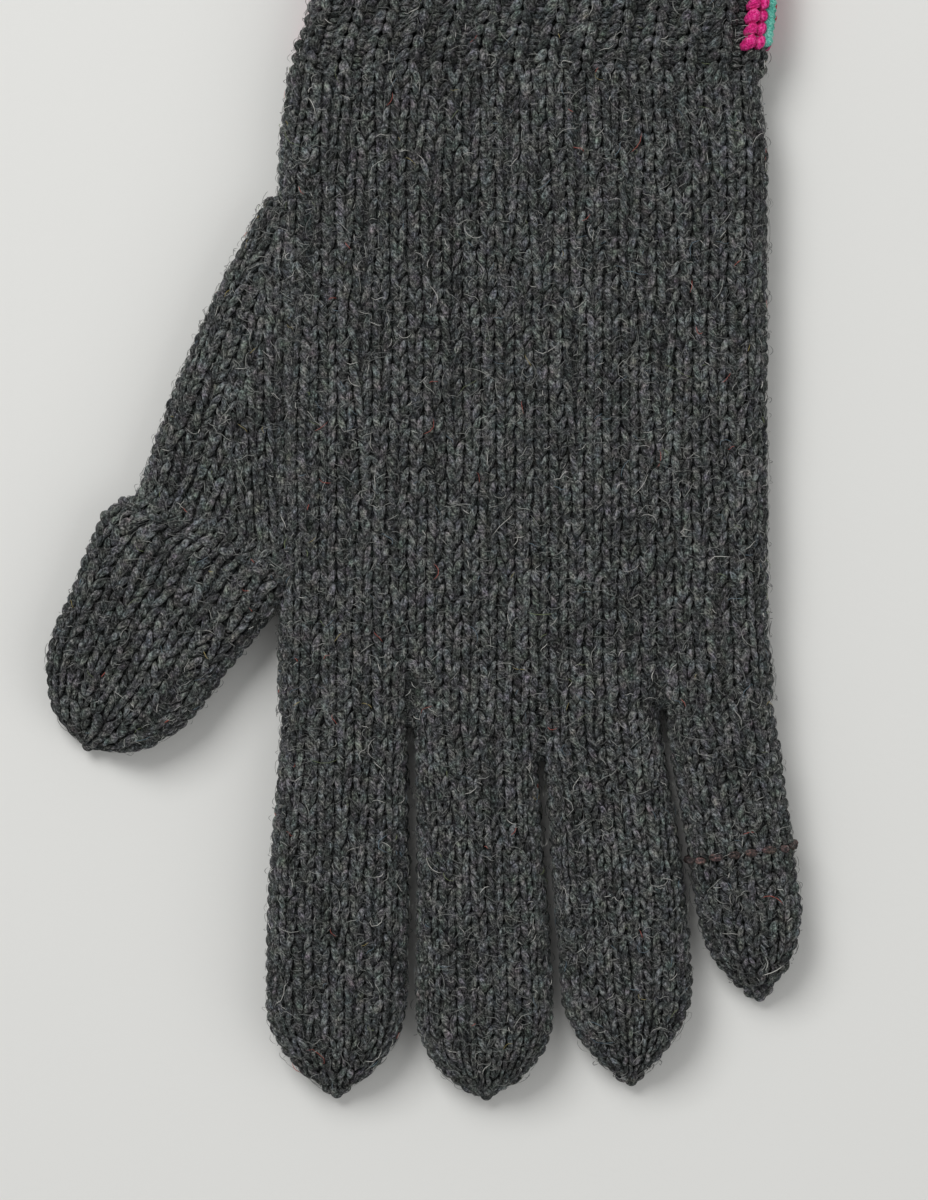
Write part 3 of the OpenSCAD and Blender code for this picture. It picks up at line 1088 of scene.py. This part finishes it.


# Zones this far before and after a hinge line, given with each stretch of knit to finish_piece
FIRST_BEND = (0.5, 12.0)
NEXT_BEND = (4.5, 8.5)
TIP_BEND = (3.5, 5.5)
DIGIT_BENDS = (FIRST_BEND, NEXT_BEND, TIP_BEND)
WRIST_BEND = (1.0, 13.0)
THUMB_FOLD = (6.5, 3.0)
# A stretch of knit starts this far before its hinge line
CUT_BEFORE = 7.0


def knit_digit(digit, tube, first_row, seed):
    """Knits a finger or the thumb in stretches, one for each hinge, with a closed tip."""
    stretches = len(digit.bends)
    cuts = [first_row]
    for i in range(1, stretches):
        cuts.append(digit.bends[i] - CUT_BEFORE)
    cuts.append(digit.length + 1)
    names = {3: ["base", "middle", "tip"], 2: ["base", "tip"]}[stretches]
    for i in range(stretches):
        rng = draws(seed + i)
        last = i == stretches - 1
        stretch = f"{digit.name}_{names[i]}"
        slot = "conductive_wool" if last and digit.name in ("index", "thumb") else "charcoal_wool"
        strands = Strands()
        low, high = cuts[i], cuts[i + 1]
        shell_end = digit.length - 0.35 if last else high + 0.4
        shell(strands, tube, low, shell_end, closed_end=last)
        stocking_stitches(strands, tube, low, high, rng)
        piece = strands.mesh(f"{stretch}_knit", yarn_of(slot.removesuffix("_wool")))
        finish_piece(piece, [stretch], joint=digit.hinges[i], zone=DIGIT_BENDS[i])
        fuzz = Strands()
        loose_fibres(fuzz, tube, low, min(high, digit.length - 1.0), rng, side_loss=0.7)
        piece = fuzz.mesh(f"{stretch}_fibres", yarn_of("fibre"))
        finish_piece(piece, joint=digit.hinges[i], zone=DIGIT_BENDS[i])


# ---------------------------------------------------------------- thumb and gusset

# The gusset between the hand's edge and its free edge, in plan: top and bottom of each
GUSSET_IN = np.array([(-38.0, 38.5), (-38.6, -33.5)])
GUSSET_OUT = np.array([(-46.5, 38.0), (-70.2, -16.4)])
# How far its free edge bows outwards
GUSSET_BOW = 1.8
GUSSET_H = 10.8
GUSSET_COLUMNS = 26
# The thumb's first row stands this far before its hinge line
THUMB_FIRST_ROW = -2.6


def gusset_edges(share):
    """Points on the gusset's two edges, as straight lines, at a share of the way along."""
    inner = GUSSET_IN[0] + (GUSSET_IN[1] - GUSSET_IN[0]) * share[..., None]
    outer = GUSSET_OUT[0] + (GUSSET_OUT[1] - GUSSET_OUT[0]) * share[..., None]
    return inner, outer


def gusset_place(f, s):
    share = s / gusset_length()
    inner, outer = gusset_edges(share)
    bow = 4 * share * (1 - share) * GUSSET_BOW
    outer = outer + np.stack([-bow * 0.85, bow * 0.4], axis=-1)
    span = inner - outer
    width = np.linalg.norm(span, axis=-1)
    height = np.minimum(GUSSET_H, width * 0.999)
    side, up = flat_tube(f, width, height)
    point = outer + span * (side / width + 0.5)[..., None]
    return lay(point[..., 0], point[..., 1], up, height, lift=0.3)


def gusset_length():
    return float(np.linalg.norm((GUSSET_IN[1] + GUSSET_OUT[1] - GUSSET_IN[0] - GUSSET_OUT[0]) / 2))


def gusset_width(s):
    inner, outer = gusset_edges(np.clip(s / gusset_length(), 0, 1))
    return np.linalg.norm(inner - outer, axis=-1)


def gusset_girth(s):
    width = gusset_width(s)
    height = np.minimum(GUSSET_H, width)
    return 2 * (width - height) + math.pi * height


def gusset_columns(column):
    """A column's number round the gusset, and how far it stands from the free and the nearer edge."""
    half = GUSSET_COLUMNS / 2
    way = np.mod(column, GUSSET_COLUMNS)
    from_outer = np.where(way < half, way, GUSSET_COLUMNS - way)
    return way, from_outer, np.minimum(from_outer, half - from_outer)


def gusset_turn(column, s):
    """Half of the columns run along the free edge and half along the hand; they meet in between."""
    way, from_outer, nearer = gusset_columns(column)
    reach = nearer * yarn().wale / gusset_girth(s)
    f = np.where(from_outer < GUSSET_COLUMNS / 4, reach, 0.5 - reach)
    return np.where(way < GUSSET_COLUMNS / 2, f, 1 - f)


def gusset_unmade(columns, s):
    """Columns that the gusset's increases haven't made yet at this row."""
    nearer = gusset_columns(columns)[2]
    return (nearer - 0.15) * yarn().wale > gusset_girth(np.array([s]))[0] / 4


class GLOVE_OT_thumb(bpy.types.Operator):
    """Knit the thumb gusset and the thumb"""

    bl_idname = "glove.thumb"
    bl_label = "Thumb"

    def execute(self, context):
        course = yarn().course
        length = gusset_length()
        rows = np.arange(0.5, length / course) * course
        tube = KnitTube(gusset_place, gusset_girth, GUSSET_COLUMNS, (0.0, length), rows, turn=gusset_turn)
        rng = draws(70)
        strands = Strands()
        ground = KnitTube(gusset_place, gusset_girth, GUSSET_COLUMNS, (0.0, length), rows)
        shell(strands, ground, 1.0, length)
        stocking_stitches(strands, tube, 0.0, length, rng, skip=gusset_unmade)
        piece = strands.mesh("thumb_gusset_knit", yarn_of("charcoal"))
        # The gusset is given the hinge along the hand's edge
        finish_piece(piece, ["thumb_gusset"], joint="thumb_fold", zone=THUMB_FOLD)
        fuzz = Strands()
        loose_fibres(fuzz, ground, 1.0, length, rng)
        piece = fuzz.mesh("thumb_gusset_fibres", yarn_of("fibre"))
        finish_piece(piece, joint="thumb_fold", zone=THUMB_FOLD)
        digit = thumb()
        knit_digit(digit, digit.tube(THUMB_FIRST_ROW, keep=None), THUMB_FIRST_ROW, 80)
        return {"FINISHED"}


# ---------------------------------------------------------------- cuff

CUFF_W = 86.0
CUFF_COLUMNS = 30
# Distances from the wrist line over which the fabric turns from hand to cuff, and the stripes run
CUFF_TURN = 14.0
STRIPE_FROM, STRIPE_TO = 4.4, 50.0
STRIPES = ("pink", "teal", "red")
PLAIN = -1


def cuff_length():
    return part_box("cast_on_edge")[1].y / MM - WRIST[1]


def cuff_width(s):
    """The ribs draw in a little towards the wrist and the open end."""
    return CUFF_W - 2.0 * smooth(s / CUFF_TURN) - 2.0 * smooth(s / cuff_length())


def cuff_place(f, s):
    side, up = flat_tube(f, cuff_width(s), BODY_H)
    x = side + 0.8 + 2.2 * smooth(s / CUFF_TURN)
    return lay(x, WRIST[1] + s, up, BODY_H)


def cuff_girth(s):
    return 2 * (cuff_width(s) - BODY_H) + math.pi * BODY_H


def cuff_turn(column, s):
    return (column + 0.5) / CUFF_COLUMNS


def stripe_colour(columns, s):
    """Number of a column's stripe, or PLAIN.

    Each knit rib and each purl rib, half a column apart, has its own colour. The stripes cover the
    back and turn its edge; the first red one starts a little further on.
    """
    half = np.round(2 * np.mod(columns - (CUFF_COLUMNS / 2 - 1.5), CUFF_COLUMNS)).astype(int)
    starts = np.where(half == 2, STRIPE_FROM + 4.4, STRIPE_FROM)
    striped = (half < CUFF_COLUMNS + 1) & (s > starts) & (s < STRIPE_TO)
    return np.where(striped, half % len(STRIPES), PLAIN)


class GLOVE_OT_cuff(bpy.types.Operator):
    """Knit the ribbed cuff, its coloured stripes and its cast-on edge"""

    bl_idname = "glove.cuff"
    bl_label = "Cuff"

    def execute(self, context):
        rng = draws(100)
        length = cuff_length()
        course = yarn().course
        rows = np.arange(0.4, (length - 1.5) / course) * course
        tube = KnitTube(cuff_place, cuff_girth, CUFF_COLUMNS, (-2.0, length), rows, turn=cuff_turn)
        tube.hand_sign = -1.0
        heaps = {PLAIN: Strands()} | {number: Strands() for number in range(len(STRIPES))}
        shell(heaps[PLAIN], tube, -2.0, length - 0.6, outside=2.4, inside=3.4)
        for s in rows:
            columns = np.arange(CUFF_COLUMNS) + 0.5
            for kind, strands in heaps.items():
                knit = columns[stripe_colour(columns, s) == kind]
                purl = columns[stripe_colour(columns + 0.5, s) == kind] + 0.5
                rib_row(strands, tube, knit, purl, s, course, rng, coloured=kind != PLAIN)
        piece = heaps.pop(PLAIN).mesh("cuff_ribs", yarn_of("charcoal"))
        finish_piece(piece, ["cuff_rib"], joint="wrist_bend", zone=WRIST_BEND)
        for colour, strands in zip(STRIPES, heaps.values()):
            piece = strands.mesh(f"{colour}_stripe_knit", yarn_of(colour))
            nodes = [f"{colour}_stripes"]
            finish_piece(piece, nodes, joint="wrist_bend", zone=WRIST_BEND)
        edge = Strands()
        cast_on(edge, tube, length, rng)
        piece = edge.mesh("cast_on_cord", yarn_of("charcoal"))
        finish_piece(piece, ["cast_on_edge"], body="cuff")
        fuzz = Strands()
        loose_fibres(fuzz, tube, 0.0, length, rng)
        piece = fuzz.mesh("cuff_fibres", yarn_of("fibre"))
        finish_piece(piece, joint="wrist_bend", zone=WRIST_BEND)
        return {"FINISHED"}


def rib_row(strands, tube, columns, purl, s, course, rng, coloured):
    """One row of one-by-one rib: two fat legs of each knit stitch, and purl bumps sunk between them."""
    n = len(columns)
    for way in (-1, 1) if n else ():
        jitter = rng.normal(0, 0.018, (n, 4))
        low = s + course * (0.45 + 3 * jitter[:, 1])
        high = s - course * ((0.75 if coloured else 0.9) + 3 * jitter[:, 1])
        lift = 0.35 if coloured else 0.0
        near = columns + way * (0.05 + jitter[:, 0])
        far = columns + way * ((0.4 if coloured else 0.35) + jitter[:, 2])
        start = np.stack([near, low, lift - 1.3 + 3 * jitter[:, 3]], axis=1)
        end = np.stack([far, high, np.full(n, lift - 2)], axis=1)
        radius = (1.3 if coloured else 0.95) * (1 + rng.normal(0, 0.08, n))
        lay_yarn(strands, tube, start, end, np.full(n, 0.75), radius, rng, bow=way * 0.2)
    n = len(purl)
    if not n:
        return
    # A coloured purl column is fuller and shows as a smooth band between two ribs
    depth, radius, reach = (-0.35, 1.2, 0.27) if coloured else (-2.7, 0.62, 0.19)
    start = np.stack([purl - reach, np.full(n, s), np.full(n, depth)], axis=1)
    end = np.stack([purl + reach, s + rng.normal(0, 0.15, n), np.full(n, depth)], axis=1)
    for shift in (0.0, course / 2):
        step = np.array([0.0, shift, 0.0])
        lay_yarn(strands, tube, start + step, end + step, np.full(n, 0.3), np.full(n, radius), rng)


def cast_on(strands, tube, length, rng):
    """The cast-on edge: slanting loops in a tight cord round the opening."""
    loops = 2 * CUFF_COLUMNS
    columns = np.arange(loops) / 2 + 0.25
    for slant, low, high in ((0.24, 2.6, 0.9), (0.3, 1.7, 0.0)):
        start = np.stack([columns - slant, np.full(loops, length - low), np.full(loops, -1.5)], axis=1)
        end = np.stack([columns + slant, np.full(loops, length - high), np.full(loops, -1.8)], axis=1)
        lay_yarn(strands, tube, start, end, np.full(loops, 0.8), np.full(loops, 1.1), rng)


# ---------------------------------------------------------------- small pieces


# Distances of the joined rounds from the digit's first hinge line
LITTLE_JOIN_AT = 27.2
THUMB_JOIN_AT = 1.2


class GLOVE_OT_small_pieces(bpy.types.Operator):
    """Add the knots at the tips, the joined rounds and the stitches between the fingers"""

    bl_idname = "glove.small_pieces"
    bl_label = "Knots and bridges"

    def execute(self, context):
        digits = four_fingers() + [thumb()]
        for number, digit in enumerate(digits):
            tip_knot(digit, draws(120 + number))
        little, thumb_digit = digits[3:]
        joined_round(little, "little_join", LITTLE_JOIN_AT, "joined", 1, draws(130))
        joined_round(thumb_digit, "thumb_join", THUMB_JOIN_AT, "charcoal", 0, draws(131))
        names = ("index_middle_bridge", "middle_ring_bridge", "ring_little_bridge")
        for name, (x, y) in zip(names, CROTCHES):
            bridge(name, x, y, draws(140 + int(x) + 60))
        return {"FINISHED"}


def straight_strands(strands, starts, ends, bow, radius, rng):
    """Short strands between points in space, bowed along a direction."""
    share, angle, _ = LEG
    t = share[None, :, None]
    run = ends - starts
    length = np.linalg.norm(run, axis=1)
    ahead = run / length[:, None]
    upright = np.abs(ahead[:, 2:3]) > 0.8
    helper = np.where(upright, np.array([[1.0, 0, 0]]), np.array([[0, 0, 1.0]]))
    first = np.cross(ahead, helper)
    first /= np.linalg.norm(first, axis=1, keepdims=True)
    second = np.cross(ahead, first)
    fat = radius[:, None] * plumpness(share[None])
    points = starts[:, None] + run[:, None] * t + bow[:, None] * np.sin(math.pi * t)
    points = points + first[:, None] * (fat * np.cos(angle)[None])[..., None]
    points = points + second[:, None] * (fat * np.sin(angle)[None])[..., None]
    tone = rng.random(len(starts))
    offset = rng.random(len(starts)) * PATTERN_RUN
    strands.add(LEG, points, tone, length, radius, offset)


def tip_knot(digit, rng):
    """The yarn drawn through the last stitches: a small puckered knot with a cut end."""
    strands = Strands()
    end = digit.place(np.array([0.25]), np.array([digit.length - 0.8]))[0]
    low = digit.place(np.array([0.75]), np.array([digit.length - 0.8]))[0]
    middle = (end + low) / 2
    along = np.array([digit.along[0], digit.along[1], 0.0])
    across = np.array([digit.across[0], digit.across[1], 0.0])
    up = np.array([0, 0, 1.0])
    spokes = 7
    turn = np.arange(spokes) / spokes * 2 * math.pi + rng.random() * 2
    ring = np.cos(turn)[:, None] * across * 2.5 + np.sin(turn)[:, None] * up * 1.7
    starts = middle - along * 1.5 + ring
    ends = middle + along * 0.5 + ring * 0.12
    straight_strands(strands, starts, ends, ring * 0.22, np.full(spokes, 0.72), rng)
    starts = middle[None] - across * 1.1 + along * 0.2
    ends = middle[None] + across * 1.3 + along * 0.5 + up * 0.4
    straight_strands(strands, starts, ends, along[None] * 0.3, np.array([0.7]), rng)
    piece = strands.mesh(f"{digit.name}_tip_knot", yarn_of("charcoal"))
    body = JOINTS[digit.hinges[-1]]["child"]
    finish_piece(piece, [f"{digit.name}_knot"], body=body)


def joined_round(digit, node, s, finish, stretch, rng):
    """A round of bumps where new yarn was joined or stitches were picked up."""
    tube = digit.tube(0.0, keep=None)
    strands = Strands()
    columns = np.arange(digit.columns) + 0.5
    n = len(columns)
    wobble = rng.normal(0, 0.12, n)
    start = np.stack([columns - 0.42, s + wobble, np.full(n, -0.5)], axis=1)
    end = np.stack([columns + 0.42, s + 0.5 + wobble, np.full(n, -0.6)], axis=1)
    lay_yarn(strands, tube, start, end, np.full(n, 0.55), np.full(n, 0.72), rng)
    piece = strands.mesh(f"{node}_round", yarn_of(finish))
    finish_piece(piece, [node], joint=digit.hinges[stretch], zone=DIGIT_BENDS[stretch])


def bridge(name, x, y, rng):
    """Stitches cast on between two fingers, from palm to back at the bottom of the crotch."""
    strands = Strands()
    starts = np.array([[x + dx, y + 1.2, 9.0] for dx in (-1.6, 0.0, 1.6)])
    ends = np.array([[x + dx, y + 1.2, 3.0] for dx in (-1.3, 0.3, 1.3)])
    bow = np.tile(np.array([[0, -0.9, 0.0]]), (3, 1))
    straight_strands(strands, starts, ends, bow, np.full(3, 0.85), rng)
    piece = strands.mesh(f"{name}_stitches", yarn_of("charcoal"))
    finish_piece(piece, [name], body="hand")


# ---------------------------------------------------------------- stage

# Middle of the view, its height on the table and the camera's height above it, mm
VIEW_MIDDLE = (-10.8, -34.7)
VIEW_HEIGHT = 216.0
CAMERA_UP = 900.0
SENSOR = 36.0


class GLOVE_OT_camera(bpy.types.Operator):
    """Put the camera straight above the glove, with the fingers towards the bottom of the view"""

    bl_idname = "glove.camera"
    bl_label = "Camera"

    def execute(self, context):
        data = bpy.data.cameras.new("camera")
        data.sensor_fit = "AUTO"
        data.sensor_width = SENSOR
        data.lens = SENSOR * (CAMERA_UP - BODY_H / 2) / VIEW_HEIGHT
        camera = bpy.data.objects.new("camera", data)
        camera.location = (VIEW_MIDDLE[0] * MM, VIEW_MIDDLE[1] * MM, CAMERA_UP * MM)
        context.scene.collection.objects.link(camera)
        context.scene.camera = camera
        return {"FINISHED"}


# Place and width in metres, and power in watts
KEY_LIGHT = ((-0.55, 0.75, 1.1), 0.7, 13.2)
FILL_LIGHT = ((0.9, -0.4, 1.0), 1.2, 4.0)
ROOM_LIGHT = 0.37
FLOOR_HALF = 1.5


class GLOVE_OT_stage(bpy.types.Operator):
    """Lay the plain pale floor and set the soft studio lights"""

    bl_idname = "glove.stage"
    bl_label = "Floor and lights"

    def execute(self, context):
        bm = bmesh.new()
        bmesh.ops.create_grid(bm, x_segments=1, y_segments=1, size=FLOOR_HALF)
        data = bpy.data.meshes.new("floor")
        bm.to_mesh(data)
        bm.free()
        material, tree = new_material("matt_paper")
        settings = [("Scale", 700.0), ("Detail", 3.0)]
        grain = add_node(tree, "ShaderNodeTexNoise", settings, i0=object_place(tree)).outputs["Fac"]
        shader = add_node(
            tree,
            "ShaderNodeBsdfPrincipled",
            [("Base Color", colours().floor), ("Roughness", 0.9)],
            Normal=bumps(tree, grain, 0.15, 0.0002),
        )
        add_node(tree, "ShaderNodeOutputMaterial", Surface=shader.outputs[0])
        data.materials.append(material)
        floor = bpy.data.objects.new("floor", data)
        context.scene.collection.objects.link(floor)
        soft_light("key", *KEY_LIGHT)
        soft_light("fill", *FILL_LIGHT)
        world = bpy.data.worlds.new("studio")
        world.use_nodes = True
        background = world.node_tree.nodes["Background"]
        background.inputs["Color"].default_value = (1.0, 1.0, 1.0, 1.0)
        background.inputs["Strength"].default_value = ROOM_LIGHT
        context.scene.world = world
        context.scene.view_settings.view_transform = "Standard"
        return {"FINISHED"}


def soft_light(name, place, size, power):
    """A square lamp that faces the glove."""
    data = bpy.data.lights.new(name, "AREA")
    data.size = size
    data.energy = power
    light = bpy.data.objects.new(name, data)
    light.location = place
    light.rotation_euler = (-Vector(place)).to_track_quat("-Z", "Y").to_euler()
    bpy.context.scene.collection.objects.link(light)


# ---------------------------------------------------------------- panel and run


class GLOVE_PT_panel(bpy.types.Panel):
    """Buttons and sizes of the knitted glove"""

    bl_label = "Knitted glove"
    bl_idname = "GLOVE_PT_panel"
    bl_space_type = "VIEW_3D"
    bl_region_type = "UI"
    bl_category = "Glove"

    def draw(self, context):
        for group in (context.scene.glove_yarn, context.scene.glove_colours):
            for key in group.__annotations__:
                self.layout.prop(group, key)
        for operator in STEPS:
            self.layout.operator(operator.bl_idname)


STEPS = (
    GLOVE_OT_camera,
    GLOVE_OT_hand,
    GLOVE_OT_fingers,
    GLOVE_OT_thumb,
    GLOVE_OT_cuff,
    GLOVE_OT_small_pieces,
    GLOVE_OT_stage,
)
CLASSES = (GloveYarn, GloveColours) + STEPS + (GLOVE_PT_panel,)


def register():
    for cls in CLASSES:
        bpy.utils.register_class(cls)
    bpy.types.Scene.glove_yarn = bpy.props.PointerProperty(type=GloveYarn)
    bpy.types.Scene.glove_colours = bpy.props.PointerProperty(type=GloveColours)


def unregister():
    del bpy.types.Scene.glove_colours
    del bpy.types.Scene.glove_yarn
    for cls in reversed(CLASSES):
        bpy.utils.unregister_class(cls)


def main():
    register()
    for step in STEPS:
        group, name = step.bl_idname.split(".")
        getattr(getattr(bpy.ops, group), name)()


if __name__ == "__main__":
    main()
